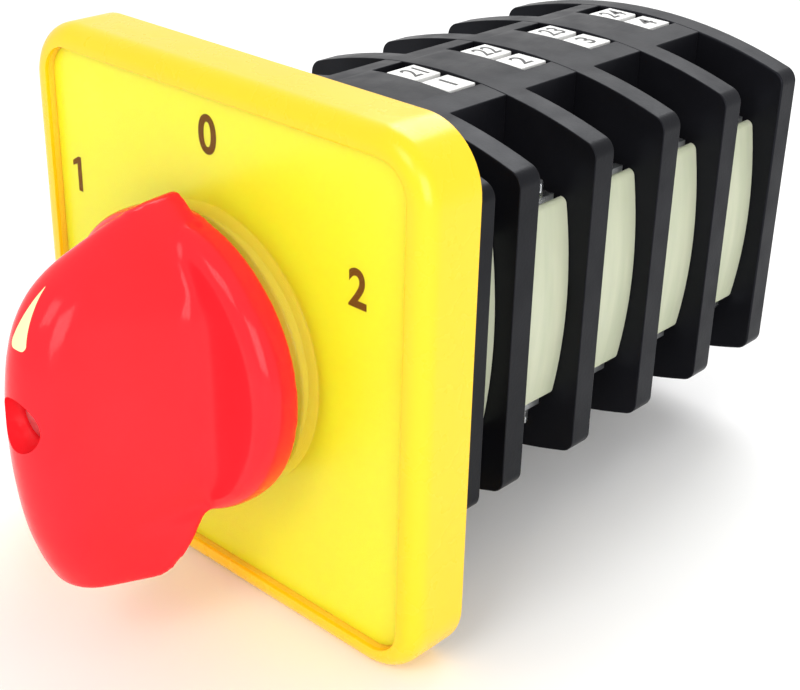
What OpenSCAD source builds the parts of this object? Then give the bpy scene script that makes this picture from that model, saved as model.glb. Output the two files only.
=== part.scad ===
// Rotary cam switch with three positions, a square front plate and four contact stages.
// X runs to the right seen from the front, Z up, and Y from the front to the rear.
// The shaft lies along Y, and Y = 0 is the plane where the plate meets the panel.

/* [Front plate] */
// Side of the square front frame
plate_w = 64; // [60:1:72]
// Depth of the frame from its rim to the panel
plate_depth = 8; // [7.5:0.5:12]
// Radius of the frame's corners
plate_corner_r = 7.5; // [5:0.5:10]
// Width of the rim round the window
rim_w = 2.8; // [2:0.1:4]
// Radius of the window's corners
window_corner_r = 4; // [2:0.5:6]
// Depth from the rim to the clear cover
recess_d = 0.4; // [0.3:0.1:1.2]
// Thickness of the clear cover
cover_t = 0.8; // [0.6:0.1:1.2]
// Thickness of the legend plate
legend_t = 0.8; // [0.5:0.1:1]
// Thickness of the web behind the legend plate
web_t = 2.4; // [2.2:0.1:3]
// Outer radius of the clear collar round the knob
collar_r = 17; // [16:0.5:19]
// Wall of the clear collar
collar_t = 1.5; // [1:0.1:2]
// Height of the clear collar above the cover
collar_h = 2.8; // [1.5:0.1:3.1]
// Distance between the fixing screws, both ways
fixing_pitch = 36; // [34:0.5:36]
// Radius of the fixing screws
fixing_r = 1.95; // [1.5:0.05:2]

/* [Knob] */
// Radius of the knob's disc
disc_r = 17.8; // [17:0.1:20]
// Thickness of the disc
disc_t = 5; // [4:0.5:7]
// Radius of the disc's front edge
disc_edge_r = 2.2; // [1:0.1:3]
// Gap between the frame's rim and the disc
knob_gap = 3; // [2.6:0.1:4]
// Reach of the grip's nose in front of the frame's rim
grip_reach = 27; // [22:0.2:32]
// Width of the grip at the disc
grip_w = 16.4; // [13:0.2:18]
// Width of the grip at its nose
nose_w = 10.6; // [9:0.2:14]
// Height of the pointer's tip above the axis
tip_h = 19.6; // [18.5:0.1:22]
// Reach of the grip's lower end below the axis
heel_h = 21.5; // [18:0.1:23]
// Radius of the screw recess in the nose
recess_r = 3.1; // [2.8:0.1:3.6]

/* [Shaft] */
// Side of the square shaft
shaft_w = 6; // [5.5:0.1:6.2]
// Radius of the round end that runs in the rear bush
journal_r = 2.9; // [2.5:0.1:2.95]
// Turn from the middle position to each end position, in degrees
throw_angle = 60; // [60:60:60]

/* [Body] */
// Width of the fins
body_w = 47.5; // [46:0.5:52]
// Height of the fins at the middle
body_h = 48.6; // [47:0.2:54]
// Radius of the fins' curved top and bottom
body_arc_r = 72; // [60:1:90]
// Radius of the fins' corners
body_corner_r = 2; // [1:0.2:3]
// Thickness of a fin
fin_t = 3.6; // [3:0.1:4.5]
// Space between two fins
bay_d = 10.2; // [9.6:0.1:14]
// Width of the lands that join the fins
land_w = 20; // [19:0.5:20.5]
// Depth of the latch housing
latch_d = 12.3; // [12:0.1:15]
// Depth of the spacer behind the latch housing
spacer_d = 4.2; // [3.5:0.1:6]

/* [Contacts] */
// Travel of a contact bridge each way from its middle place
contact_travel = 1.8; // [1:0.1:1.8]
// Mean radius of a cam
cam_r = 7.2; // [7.2:0.05:7.3]
// Width of a cam, of the plungers and of the bridges
cam_w = 5; // [4:0.1:6]
// Half length of a bridge
bridge_reach = 10.9; // [10.5:0.1:10.9]
// Thickness of the bridges and of the fixed contacts
strip_t = 1; // [0.8:0.05:1]
// Radius of the silver contact tips
tip_r = 1.3; // [1:0.05:1.35]
// Thickness of the silver contact tips
tip_t = 0.7; // [0.5:0.05:0.7]
// Radius of a terminal screw's head
screw_head_r = 2.3; // [2:0.1:2.35]

/* [Hidden] */
$fn = 64;
stages = 4;
// Overrun of cuts, clearance of fixed pieces, radial clearance of turning pieces
over = 1;
fit = 0.05;
gap = 0.1;
running = 0.06;

// Places along Y
rim_y = -plate_depth;
cover_y = rim_y + recess_d;
legend_y = cover_y + cover_t;
web_y = legend_y + legend_t;
web_back_y = web_y + web_t;
knob_back_y = rim_y - knob_gap;
disc_front_y = knob_back_y - disc_t;
nose_y = rim_y - grip_reach;
spacer_y = latch_d;
pitch = fin_t + bay_d;
function fin_y(k) = latch_d + spacer_d + (k - 1) * pitch;
function bay_y(k) = fin_y(k) + fin_t;
function mid_y(k) = bay_y(k) + bay_d / 2;
end_y = fin_y(stages + 1);
back_y = end_y + fin_t;

// Front plate
window_w = plate_w - 2 * rim_w;
sheet_w = window_w - 2 * gap;
knob_hub_r = 9.5;
hub_bore_r = knob_hub_r + gap;
cover_bore_r = knob_hub_r + 2 * collar_t;
fixing_head_r = 3.8;
fixing_head_d = 2.2;
insert_r = 2.9;
insert_d = 8;

// Knob: the grip's outline seen from the side, from the front and from above
tip_y = knob_back_y - disc_t / 4;
ridge_reach_share = 0.33;
brow_h_share = 0.86;
nose_upper_r = 27;
nose_lower_r = 100;
heel_front_share = 0.83;
chin_reach_share = 0.8;
chin_h_share = 0.98;
heel_back_share = 0.31;
heel_root_share = 0.72;
shoulder_share = 0.5;
nose_round = 5;
arch_power = 0.6;
curve_steps = 12;
marker_w = 2.7;
marker_top_share = 0.77;
marker_low_share = 0.43;
marker_d = 7;
knob_screw_r = 1.95;
knob_screw_head_r = 2.8;
knob_screw_head_t = 2.2;
knob_screw_l = 13;
screw_recess_d = 5.5;
slot_w = 0.8;
slot_d = 1;
socket_d = 9;

// Body outline
arc_z = body_h / 2 - body_arc_r;
corner_x = body_w / 2 - body_corner_r;
corner_z = arc_z + sqrt(pow(body_arc_r - body_corner_r, 2) - pow(corner_x, 2));
tangent_x = corner_x * body_arc_r / (body_arc_r - body_corner_r);

// Tie bolts
bolt_share = 0.385;
bolt_z = bolt_share * body_h;
bolt_r = 1.9;
bolt_head_r = 3.5;
bolt_head_t = 2.6;
nut_r = 4;
nut_t = 3.2;
bolt_start_y = 1;

// Latch
latch_wall = 2.2;
latch_cavity_w = 31;
latch_share = 0.55;
latch_cavity_h = latch_share * body_h;
latch_relief = 2;
latch_relief_h = 19;
latch_bore_r = 8;
star_room = 2;
star_r = latch_cavity_h / 2 - star_room;
notch_d = 1.6;
notch_angle = 14;
notch_angle_step = 60;
star_t = 4;
star_start = 0.8;
rotor_hub_r = 5.2;
rotor_room = 0.3;
latch_hub_r = 5.8;
stop_arm_t = 2.4;
stop_arm_angle = 12;
stop_pin_r = 1.5;
stop_pin_ring = star_r - stop_pin_r;
stop_pin_seat = 2;
stop_margin = 0.8;
leaf_t = 0.5;
leaf_w = 3.4;
leaf_room = 0.6;
leaf_half_h = latch_cavity_h / 2 - leaf_room;
leaf_nose_half_h = 4.5;
leaf_nose_t = 0.75;
star_y = latch_wall + star_start;
arm_y = star_y + star_t;
leaf_out_x = latch_cavity_w / 2 - gap;
leaf_tip_x = star_r - notch_d + gap;
stop_angle = throw_angle + stop_arm_angle + asin(stop_pin_r / stop_pin_ring) + stop_margin;

// Cam and plungers, measured along X from the axis
cam_room = 0.4;
cam_chamber_r = cam_r + contact_travel + cam_room;
cam_step = 3;
cam_slope = contact_travel / throw_angle;
nose_r = 1;
plunger_h = 6;
post_r = 1.1;
post_l = 3;
column_w = 17;
guide_x = 10.9;
guide_h = 14.8;
bridge_room = 0.3;
bridge_x = guide_x + contact_travel + bridge_room;
contact_z = 9.5;
fixed_tip_x = bridge_x - tip_t - contact_travel - fit;
strip_x = fixed_tip_x - tip_t - strip_t;
strip_foot_z = 7.9;
strip_w = 6;
spring_seat_x = 18;
spring_in_r = 1.35;
spring_out_r = 2.1;

// Side covers and terminals
cover_half_h = 12.3;
cover_wall = 1.1;
cover_mid_x = 21.3;
cover_bulge = 1.1;
cover_arc_r = (pow(cover_half_h, 2) + pow(cover_bulge, 2)) / (2 * cover_bulge);
cover_in_x = strip_x + strip_t + gap;
tab_z = cover_half_h + gap;
tab_x = 19.1;
land_z = tab_z + strip_t + gap;
screw_x = 17.4;
screw_r = 1.4;
screw_end_z = 10.4;
screw_head_t = 1.8;
clamp_t = 0.8;
clamp_w = 4.2;
clamp_l = 6.4;
clamp_z = tab_z + strip_t;

// Spacer core, labels and rear bush
spacer_w = 34;
tile_w = 4.6;
tile_l = 5;
tile_t = 1;
tile_gap = 1.1;
tile_sink = 0.3;
tile_floor_z = body_h / 2 - tile_t - tile_sink;
tile_margin = 0.3;
bush_r = 5;

// Extrudes an outline in X and Z along Y
module along_y(y0, y1) {
    translate([0, y1, 0]) rotate([90, 0, 0]) linear_extrude(y1 - y0) children();
}

// Extrudes an outline in Y and Z along X
module along_x(x0, x1) {
    translate([x0, 0, 0]) rotate([90, 0, 90]) linear_extrude(x1 - x0) children();
}

module rod_x(r, x0, x1) {
    translate([x0, 0, 0]) rotate([0, 90, 0]) cylinder(r = r, h = x1 - x0);
}

module rod_y(r, y0, y1) {
    translate([0, y1, 0]) rotate([90, 0, 0]) cylinder(r = r, h = y1 - y0);
}

module rod_z(r, z0, z1) {
    translate([0, 0, z0]) cylinder(r = r, h = z1 - z0);
}

module block(x0, x1, y0, y1, z0, z1) {
    translate([x0, y0, z0]) cube([x1 - x0, y1 - y0, z1 - z0]);
}

module rounded_square(w, r) {
    square([w, w - 2 * r], center = true);
    square([w - 2 * r, w], center = true);
    for (x = [-1, 1], z = [-1, 1]) translate([x, z] * (w / 2 - r)) circle(r = r);
}

module four_corners(pitch) {
    for (x = [-1, 1], z = [-1, 1]) translate([x * pitch / 2, 0, z * pitch / 2]) children();
}

// Outline of the latch housing and of every fin
module body_outline() {
    intersection() {
        square([2 * tangent_x, body_h], center = true);
        translate([0, arc_z]) circle(r = body_arc_r, $fn = 180);
        translate([0, -arc_z]) circle(r = body_arc_r, $fn = 180);
    }
    square([body_w, 2 * corner_z], center = true);
    for (x = [-1, 1], z = [-1, 1]) translate([x * corner_x, z * corner_z]) circle(r = body_corner_r);
}

// Top and bottom lands: the body outline between the land's sides, beyond height z0
module lands(z0) {
    intersection() {
        body_outline();
        for (z = [-1, 1]) translate([0, z * (z0 + body_h / 2)])
            square([land_w, body_h], center = true);
    }
}

module tie_holes(y0, y1) {
    for (z = [-1, 1]) translate([0, 0, z * bolt_z]) rod_y(bolt_r + fit, y0 - over, y1 + over);
}

// Copies its children to both ends of a bridge, upper and lower
module up_and_down() {
    children();
    mirror([0, 0, 1]) children();
}

module both_sides() {
    children();
    mirror([1, 0, 0]) children();
}

module front_frame() {
    color("gold") difference() {
        along_y(rim_y, 0) rounded_square(plate_w, plate_corner_r);
        along_y(rim_y - over, web_y) rounded_square(window_w, window_corner_r);
        along_y(web_back_y, over) rounded_square(window_w, window_corner_r);
        rod_y(hub_bore_r, web_y - over, web_back_y + over);
        four_corners(fixing_pitch) {
            rod_y(fixing_r + gap, web_y - over, web_back_y + over);
            rod_y(fixing_head_r + gap, web_y - over, web_y + fixing_head_d / 2);
            translate([0, web_y + fixing_head_d / 2, 0]) rotate([-90, 0, 0])
                cylinder(r1 = fixing_head_r + gap, r2 = fixing_r + gap, h = fixing_head_d / 2);
        }
    }
}

module legend_plate() {
    color("yellow") difference() {
        along_y(legend_y, web_y) rounded_square(sheet_w, window_corner_r - gap);
        rod_y(hub_bore_r, legend_y - over, web_y + over);
    }
}

module clear_cover() {
    color("khaki", 0.5) difference() {
        union() {
            along_y(cover_y, legend_y) rounded_square(sheet_w, window_corner_r - gap);
            rod_y(collar_r, cover_y - collar_h, legend_y);
        }
        rod_y(collar_r - collar_t, cover_y - collar_h - over, cover_y);
        rod_y(cover_bore_r, cover_y - over, legend_y + over);
    }
}

module fixing_screws() {
    color("silver") four_corners(fixing_pitch) {
        difference() {
            union() {
                rod_y(fixing_head_r, web_y, web_y + fixing_head_d / 2);
                translate([0, web_y + fixing_head_d / 2, 0]) rotate([-90, 0, 0])
                    cylinder(r1 = fixing_head_r, r2 = fixing_r, h = fixing_head_d / 2);
                rod_y(fixing_r, web_y, insert_d);
            }
            block(-fixing_head_r, fixing_head_r, web_y - over, web_y + slot_d,
                  -slot_w / 2, slot_w / 2);
        }
    }
}

module fixing_inserts() {
    color("goldenrod") four_corners(fixing_pitch) difference() {
        rod_y(insert_r, 0, insert_d);
        rod_y(fixing_r + fit, -over, insert_d + over);
    }
}

// Side of the grip in Y and Z: ridge, brow, rounded nose, chin, heel and the root at the disc
function nose_at(z, r) = nose_y + r - sqrt(r * r - z * z);
function past_disc(share) = disc_front_y + share * (nose_y - disc_front_y);
brow_z = brow_h_share * tip_h;
heel_z = -heel_front_share * heel_h;
function between(a, b, i) = a + (b - a) * i / curve_steps;
grip_side = concat(
    [[tip_y, tip_h], [tip_y - ridge_reach_share * (tip_y - nose_y), tip_h]],
    [for (i = [0:curve_steps]) let (z = between(brow_z, 0, i)) [nose_at(z, nose_upper_r), z]],
    [for (i = [1:curve_steps]) let (z = between(0, heel_z, i)) [nose_at(z, nose_lower_r), z]],
    [[past_disc(chin_reach_share), -chin_h_share * heel_h],
     [past_disc(heel_back_share), -heel_h],
     [disc_front_y, -heel_root_share * heel_h],
     [tip_y, -heel_root_share * heel_h]]);

// Front of the grip in X and Z: pointed at the top, round at the heel
shoulder_z = shoulder_share * tip_h;
heel_turn = asin(grip_w / 2 / heel_h);
function grip_arch(i, side) =
    [side * grip_w / 2 * pow(i / curve_steps, arch_power), between(tip_h, shoulder_z, i)];
grip_front = concat(
    [for (i = [0:curve_steps]) grip_arch(i, 1)],
    [for (i = [0:curve_steps]) let (a = between(heel_turn, -heel_turn, i))
        heel_h * [sin(a), -cos(a)]],
    [for (i = [0:curve_steps - 1]) grip_arch(curve_steps - i, -1)]);

// Grip seen from above in X and Y: tapered sides and a round nose
grip_plan = concat(
    [[grip_w / 2, tip_y]],
    [for (i = [0:curve_steps]) let (a = between(0, 180, i))
        [cos(a) * nose_w / 2, nose_y + nose_round * (1 - sin(a))]],
    [[-grip_w / 2, tip_y]]);

module grip() {
    intersection() {
        along_x(-grip_w, grip_w) polygon(grip_side);
        along_y(nose_y - over, tip_y) polygon(grip_front);
        translate([0, 0, -heel_h - over]) linear_extrude(heel_h + tip_h + 2 * over)
            polygon(grip_plan);
    }
}

module marker_prism() {
    along_y(nose_y - over, nose_y + marker_d)
        polygon([[0, marker_top_share * tip_h], [marker_w / 2, marker_low_share * tip_h],
                 [-marker_w / 2, marker_low_share * tip_h]]);
}

module knob() {
    recess_floor_y = nose_y + screw_recess_d;
    color("red") difference() {
        union() {
            translate([0, knob_back_y, 0]) rotate([90, 0, 0]) rotate_extrude() {
                square([disc_r, disc_t - disc_edge_r]);
                square([disc_r - disc_edge_r, disc_t]);
                translate([disc_r - disc_edge_r, disc_t - disc_edge_r]) intersection() {
                    circle(r = disc_edge_r);
                    square(disc_edge_r);
                }
            }
            rod_y(knob_hub_r, knob_back_y, web_y + web_t / 2);
            grip();
        }
        marker_prism();
        rod_y(recess_r, nose_y - over, recess_floor_y);
        rod_y(knob_screw_r + fit, nose_y, knob_back_y);
        block(-shaft_w / 2 - fit, shaft_w / 2 + fit, knob_back_y - socket_d, web_back_y + over,
              -shaft_w / 2 - fit, shaft_w / 2 + fit);
    }
}

module knob_marker() {
    color("ivory") intersection() {
        marker_prism();
        grip();
    }
}

module knob_screw() {
    recess_floor_y = nose_y + screw_recess_d;
    color("silver") difference() {
        union() {
            rod_y(knob_screw_head_r, recess_floor_y - knob_screw_head_t, recess_floor_y);
            rod_y(knob_screw_r, recess_floor_y, recess_floor_y + knob_screw_l);
        }
        block(-knob_screw_head_r, knob_screw_head_r, recess_floor_y - knob_screw_head_t - over,
              recess_floor_y - knob_screw_head_t + slot_d, -slot_w / 2, slot_w / 2);
    }
}

// Square bar, tapped for the knob screw, with a round journal in the rear bush
module shaft() {
    start_y = knob_back_y - socket_d + gap;
    tap_end_y = nose_y + screw_recess_d + knob_screw_l + gap;
    color("silver") difference() {
        union() {
            block(-shaft_w / 2, shaft_w / 2, start_y, end_y - gap, -shaft_w / 2, shaft_w / 2);
            rod_y(journal_r, end_y - gap, back_y - gap);
        }
        rod_y(knob_screw_r + fit, start_y - over, tap_end_y);
    }
}

module shaft_bore(y0, y1) {
    block(-shaft_w / 2 - fit, shaft_w / 2 + fit, y0 - over, y1 + over,
          -shaft_w / 2 - fit, shaft_w / 2 + fit);
}

module latch_housing() {
    color("dimgray") difference() {
        along_y(0, latch_d) body_outline();
        rod_y(latch_bore_r + running, -over, latch_d);
        block(-latch_cavity_w / 2, latch_cavity_w / 2, latch_wall, latch_d + over,
              -latch_cavity_h / 2, latch_cavity_h / 2);
        block(-latch_cavity_w / 2 - latch_relief, latch_cavity_w / 2 + latch_relief,
              latch_wall, latch_d + over, -latch_relief_h / 2, latch_relief_h / 2);
        four_corners(fixing_pitch) rod_y(insert_r + fit, -over, insert_d + gap);
        tie_holes(0, latch_d);
        for (z = [-1, 1]) translate([0, 0, z * bolt_z])
            rod_y(nut_r + gap, -over, bolt_start_y + nut_t);
    }
}

// Detent wheel: notches all round it, and an arm that meets the stop pins
function from_notch(a) = abs((a + notch_angle_step / 2) % notch_angle_step - notch_angle_step / 2);
function notch_share(a) = max(0, 1 - from_notch(a) / notch_angle);
module star_wheel() {
    hub_end_y = latch_d + spacer_d - gap;
    color("white") difference() {
        union() {
            rod_y(latch_bore_r, gap, star_y);
            along_y(star_y, arm_y)
                polygon([for (a = [0:2:358])
                    (star_r - notch_d * notch_share(a)) * [cos(a), sin(a)]]);
            rod_y(latch_hub_r, arm_y, hub_end_y);
            along_y(arm_y, arm_y + stop_arm_t)
                polygon(concat([[0, 0]],
                    [for (i = [0:curve_steps])
                        let (a = between(-stop_arm_angle, stop_arm_angle, i))
                        star_r * [sin(a), -cos(a)]]));
        }
        shaft_bore(0, hub_end_y);
    }
}

// Leaf spring seated on the housing's wall, with a nose in a notch of the star wheel
module detent_leaf() {
    in_x = leaf_out_x - leaf_t;
    along_y(star_y + (star_t - leaf_w) / 2, star_y + (star_t + leaf_w) / 2)
        polygon([[leaf_out_x, leaf_half_h], [in_x, leaf_half_h], [in_x, leaf_nose_half_h],
                 [leaf_tip_x, 0], [in_x, -leaf_nose_half_h], [in_x, -leaf_half_h],
                 [leaf_out_x, -leaf_half_h], [leaf_out_x, -leaf_nose_half_h],
                 [leaf_tip_x + leaf_nose_t, 0], [leaf_out_x, leaf_nose_half_h]]);
}

module detent_spring_right() {
    color("lightsteelblue") detent_leaf();
}

module detent_spring_left() {
    color("lightsteelblue") mirror([1, 0, 0]) detent_leaf();
}

module stop_pin_places() {
    for (s = [-1, 1])
        translate(stop_pin_ring * [s * sin(stop_angle), 0, -cos(stop_angle)]) children();
}

module stop_pins() {
    color("silver") stop_pin_places() rod_y(stop_pin_r, arm_y + gap, spacer_y + stop_pin_seat);
}

module latch_spacer() {
    color("dimgray") difference() {
        along_y(spacer_y, spacer_y + spacer_d) {
            square([spacer_w, 2 * cover_half_h], center = true);
            lands(cover_half_h - over);
        }
        rod_y(latch_hub_r + gap, spacer_y - over, spacer_y + spacer_d + over);
        stop_pin_places() rod_y(stop_pin_r + fit, spacer_y - over, spacer_y + stop_pin_seat);
        tie_holes(spacer_y, spacer_y + spacer_d);
    }
}

// One stage: the fin in front, and behind it the column, the plunger guides and the lands
module stage_housing(k) {
    y0 = fin_y(k);
    y1 = bay_y(k);
    y2 = fin_y(k + 1);
    color("dimgray") difference() {
        union() {
            along_y(y0, y1) body_outline();
            along_y(y1 - fit, y2) {
                lands(land_z);
                square([column_w, 2 * land_z + over], center = true);
                square([2 * guide_x, guide_h], center = true);
            }
        }
        rod_y(rotor_hub_r + rotor_room, y0 - over, y1 + over);
        rod_y(cam_chamber_r, y1, y2 + over);
        block(-guide_x - over, guide_x + over, mid_y(k) - cam_w / 2 - fit, mid_y(k) + cam_w / 2 + fit,
              -plunger_h / 2 - fit, plunger_h / 2 + fit);
        tie_holes(y0, y2);
        block(-tile_w - tile_gap / 2 - tile_margin, tile_w + tile_gap / 2 + tile_margin,
              y2 - tile_l - tile_margin, y2 + over, tile_floor_z, body_h);
    }
}

// Falls from its high dwell on the lower side to its low dwell on the upper side, so that
// both plungers move the same way at the same rate
function cam_turn(a) = a > 180 ? a - 360 : a;
function cam_lift(a) =
    abs(cam_turn(a)) <= throw_angle ? -cam_turn(a) * cam_slope :
    abs(a - 180) <= throw_angle ? (a - 180) * cam_slope :
    a < 180 ? -contact_travel : contact_travel;

module cam(k) {
    color("ivory") difference() {
        union() {
            rod_y(rotor_hub_r, fin_y(k), fin_y(k + 1) - gap);
            along_y(mid_y(k) - cam_w / 2, mid_y(k) + cam_w / 2)
                polygon([for (a = [0:cam_step:359]) (cam_r + cam_lift(a)) * [cos(a), sin(a)]]);
        }
        shaft_bore(fin_y(k), fin_y(k + 1));
    }
}

// The right-hand moving contact: plunger, bridge and spring
module plunger_shape(k) {
    nose_x = cam_r + gap + nose_r;
    translate([0, mid_y(k), 0]) {
        along_y(-cam_w / 2, cam_w / 2) {
            translate([nose_x, 0]) circle(r = nose_r);
            translate([nose_x, -plunger_h / 2]) square([bridge_x - nose_x, plunger_h]);
        }
        rod_x(post_r, bridge_x, bridge_x + post_l);
    }
}

module bridge_shape(k) {
    translate([0, mid_y(k), 0]) {
        difference() {
            block(bridge_x, bridge_x + strip_t, -cam_w / 2, cam_w / 2, -bridge_reach, bridge_reach);
            rod_x(post_r + fit, bridge_x - over, bridge_x + strip_t + over);
        }
        up_and_down() translate([0, 0, contact_z]) rod_x(tip_r, bridge_x - tip_t, bridge_x);
    }
}

module spring_shape(k) {
    translate([0, mid_y(k), 0]) difference() {
        rod_x(spring_out_r, bridge_x + strip_t, spring_seat_x - fit);
        rod_x(spring_in_r, bridge_x + strip_t - over, spring_seat_x + over);
    }
}

module plunger_right(k) {
    color("ivory") plunger_shape(k);
}

module plunger_left(k) {
    color("ivory") mirror([1, 0, 0]) plunger_shape(k);
}

module bridge_right(k) {
    color("goldenrod") bridge_shape(k);
}

module bridge_left(k) {
    color("goldenrod") mirror([1, 0, 0]) bridge_shape(k);
}

module spring_right(k) {
    color("silver") spring_shape(k);
}

module spring_left(k) {
    color("silver") mirror([1, 0, 0]) spring_shape(k);
}

// Four angle pieces: an upright with a silver tip, and a tab that runs out over the side cover
module fixed_contacts(k) {
    color("goldenrod") translate([0, mid_y(k), 0]) both_sides() up_and_down() {
        difference() {
            union() {
                block(strip_x, strip_x + strip_t, -strip_w / 2, strip_w / 2, strip_foot_z, clamp_z);
                block(strip_x, tab_x, -strip_w / 2, strip_w / 2, tab_z, clamp_z);
            }
            translate([screw_x, 0, 0]) rod_z(screw_r + fit, tab_z - over, clamp_z + over);
        }
        translate([0, 0, contact_z]) rod_x(tip_r, strip_x + strip_t, fixed_tip_x);
    }
}

// Nylon covers, C-shaped seen from the front, with a bulged outer wall
module cover_outline(in_x) {
    difference() {
        intersection() {
            translate([in_x, -cover_half_h]) square([cover_mid_x - in_x, 2 * cover_half_h]);
            translate([cover_mid_x - cover_arc_r, 0]) circle(r = cover_arc_r, $fn = 180);
        }
        translate([in_x - over, cover_wall - cover_half_h])
            square([spring_seat_x - in_x + over, 2 * (cover_half_h - cover_wall)]);
    }
}

// Outer wall drawn out past the ends of the tabs, up to the clamps
module cover_lips() {
    intersection() {
        translate([tab_x + gap, gap - clamp_z])
            square([cover_mid_x - tab_x, 2 * (clamp_z - gap)]);
        translate([cover_mid_x - cover_arc_r, 0]) circle(r = cover_arc_r, $fn = 180);
    }
}

module cover_row() {
    color("darkseagreen") {
        for (k = [1:stages]) difference() {
            along_y(bay_y(k) + gap, fin_y(k + 1) - gap) union() {
                cover_outline(cover_in_x);
                cover_lips();
            }
            translate([screw_x, mid_y(k), 0])
                rod_z(screw_r + gap, -cover_half_h - over, cover_half_h + over);
        }
        along_y(spacer_y + gap, spacer_y + spacer_d - gap) intersection() {
            cover_outline(spacer_w / 2 + gap);
            translate([spring_seat_x, -cover_half_h])
                square([cover_mid_x - spring_seat_x, 2 * cover_half_h]);
        }
    }
}

module side_covers_right() {
    cover_row();
}

module side_covers_left() {
    mirror([1, 0, 0]) cover_row();
}

module terminals() {
    for (k = [1:stages]) translate([0, mid_y(k), 0]) both_sides() up_and_down()
        translate([screw_x, 0, 0]) children();
}

module terminal_clamps() {
    color("silver") terminals() difference() {
        block(-clamp_w / 2, clamp_w / 2, -clamp_l / 2, clamp_l / 2, clamp_z, clamp_z + clamp_t);
        rod_z(screw_r + fit, clamp_z - over, clamp_z + clamp_t + over);
    }
}

module terminal_screws() {
    head_z = clamp_z + clamp_t;
    color("silver") terminals() difference() {
        union() {
            rod_z(screw_r, screw_end_z, head_z);
            rod_z(screw_head_r, head_z, head_z + screw_head_t);
        }
        block(-screw_head_r, screw_head_r, -slot_w / 2, slot_w / 2,
              head_z + screw_head_t - slot_d, head_z + screw_head_t + over);
    }
}

module label_tiles() {
    color("white") for (k = [1:stages], s = [-1, 1])
        translate([s * (tile_w + tile_gap) / 2, 0, 0])
            block(-tile_w / 2, tile_w / 2, fin_y(k + 1) - tile_l - fit, fin_y(k + 1) - fit,
                  tile_floor_z, tile_floor_z + tile_t);
}

module end_plate() {
    color("dimgray") difference() {
        along_y(end_y, back_y) body_outline();
        rod_y(bush_r + fit, end_y - over, back_y + over);
        tie_holes(end_y, back_y);
    }
}

module rear_bush() {
    color("tan") difference() {
        rod_y(bush_r, end_y, back_y);
        rod_y(journal_r + fit, end_y - over, back_y + over);
    }
}

module tie_bolts() {
    color("silver") for (z = [-1, 1]) translate([0, 0, z * bolt_z]) difference() {
        union() {
            rod_y(bolt_r, bolt_start_y, back_y);
            rod_y(bolt_head_r, back_y, back_y + bolt_head_t);
        }
        block(-bolt_head_r, bolt_head_r, back_y + bolt_head_t - slot_d, back_y + bolt_head_t + over,
              -slot_w / 2, slot_w / 2);
    }
}

module tie_nuts() {
    color("silver") for (z = [-1, 1]) translate([0, bolt_start_y, z * bolt_z]) difference() {
        translate([0, nut_t, 0]) rotate([90, 0, 0]) cylinder(r = nut_r, h = nut_t, $fn = 6);
        rod_y(bolt_r + fit, -over, nut_t + over);
    }
}

front_frame();
legend_plate();
clear_cover();
knob();
knob_marker();
knob_screw();
shaft();
fixing_screws();
fixing_inserts();
latch_housing();
star_wheel();
detent_spring_left();
detent_spring_right();
stop_pins();
latch_spacer();
for (k = [1:stages]) {
    stage_housing(k);
    cam(k);
    plunger_left(k);
    plunger_right(k);
    bridge_left(k);
    bridge_right(k);
    spring_left(k);
    spring_right(k);
    fixed_contacts(k);
}
side_covers_left();
side_covers_right();
terminal_clamps();
terminal_screws();
label_tiles();
end_plate();
rear_bush();
tie_bolts();
tie_nuts();
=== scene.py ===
"""Rotary cam switch for a control panel: square yellow plate, red handle, four contact stages.

The row frame: +X to the right seen from the front, +Y from the plate to the rear, +Z up.
"""
import math

import bmesh
import bpy
from mathutils import Matrix, Vector


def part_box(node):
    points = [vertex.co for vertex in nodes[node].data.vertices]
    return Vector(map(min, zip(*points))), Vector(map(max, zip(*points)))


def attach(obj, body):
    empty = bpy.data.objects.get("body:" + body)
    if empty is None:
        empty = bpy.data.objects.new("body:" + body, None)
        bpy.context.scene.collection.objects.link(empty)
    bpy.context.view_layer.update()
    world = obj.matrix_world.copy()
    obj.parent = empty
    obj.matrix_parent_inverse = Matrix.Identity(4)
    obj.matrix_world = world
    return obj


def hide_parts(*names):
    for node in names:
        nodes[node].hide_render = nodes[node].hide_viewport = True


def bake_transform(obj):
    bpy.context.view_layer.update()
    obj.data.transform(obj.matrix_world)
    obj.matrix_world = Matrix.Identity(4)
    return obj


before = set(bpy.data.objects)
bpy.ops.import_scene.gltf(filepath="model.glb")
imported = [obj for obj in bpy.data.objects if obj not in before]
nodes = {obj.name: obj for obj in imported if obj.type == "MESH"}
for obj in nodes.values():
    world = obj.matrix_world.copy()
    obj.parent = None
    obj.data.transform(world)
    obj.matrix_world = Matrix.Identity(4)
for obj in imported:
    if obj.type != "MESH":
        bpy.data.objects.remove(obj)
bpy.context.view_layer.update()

# Front frame: the square rim round the window, injection moulded in glossy yellow plastic.
# It has a broad rolled front edge, and sits on the panel with its flat rear ring.
# Sizes are in millimetres, and MM turns them into the scene's metres
MM = 0.001
SAME_PLACE = 0.001
RIM_ROLL = 2.2
RIM_ROLL_STEPS = 8
RIM_EDGE_R = 0.35
YELLOW, DEEP_YELLOW = (1.0, 0.61, 0.009), (1.0, 0.6, 0.008)


def lowest(node_name, axis):
    """Where a CAD node's box starts along an axis, in millimetres."""
    return round(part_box(node_name)[0]["XYZ".index(axis)] / MM, 2)


def highest(node_name, axis):
    """Where a CAD node's box ends along an axis, in millimetres."""
    return round(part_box(node_name)[1]["XYZ".index(axis)] / MM, 2)


def new_finish(name):
    """A material with its node tree emptied down to a shader and an output."""
    finish = bpy.data.materials.new(name)
    finish.use_nodes = True
    tree = finish.node_tree
    tree.nodes.clear()
    output = tree.nodes.new("ShaderNodeOutputMaterial")
    shader = tree.nodes.new("ShaderNodeBsdfPrincipled")
    tree.links.new(shader.outputs[0], output.inputs["Surface"])
    return finish, tree, shader


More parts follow.
